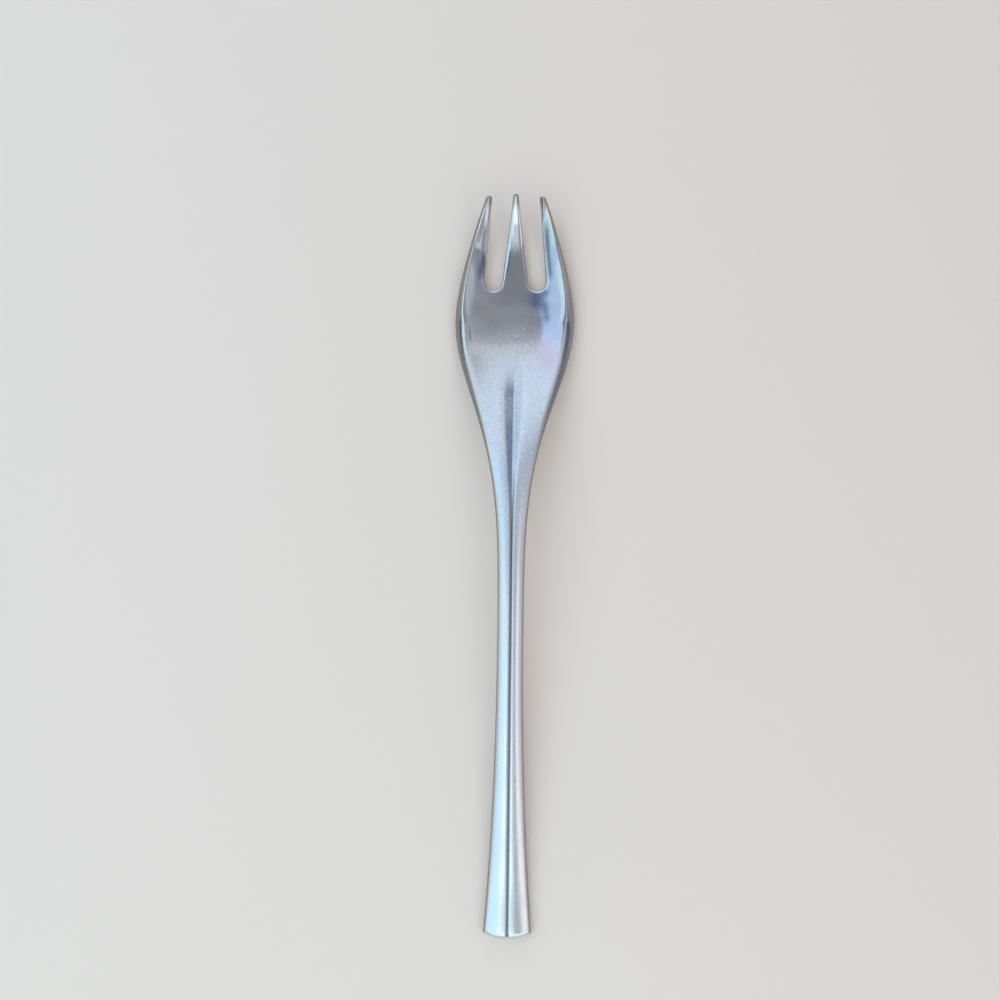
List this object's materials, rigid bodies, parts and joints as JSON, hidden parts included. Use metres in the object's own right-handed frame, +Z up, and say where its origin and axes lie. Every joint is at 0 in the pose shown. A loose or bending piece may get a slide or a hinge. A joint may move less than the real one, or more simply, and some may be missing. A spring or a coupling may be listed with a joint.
{
  "type": "salad fork",
  "caption": "Slim forged steel salad fork: short tapered tines on a shallow dished bowl, flared neck and waisted handle with a V groove down the front.",
  "frame": {"origin": "middle of the fork's outline, on the table it lies on", "axes": "+Y along the fork towards the tine tips, +X to the right seen from above, +Z up out of the bowl"},
  "size_m": [0.0258, 0.162, 0.0111],
  "materials": {
    "steel": "satin stainless steel, worn brighter on rims, tine tips and groove edges"
  },
  "bodies": {
    "root": {"left_tine": "steel", "middle_tine": "steel", "right_tine": "steel", "bowl": "steel", "neck": "steel", "handle": "steel", "handle_end": "steel"}
  },
  "joints": []
}
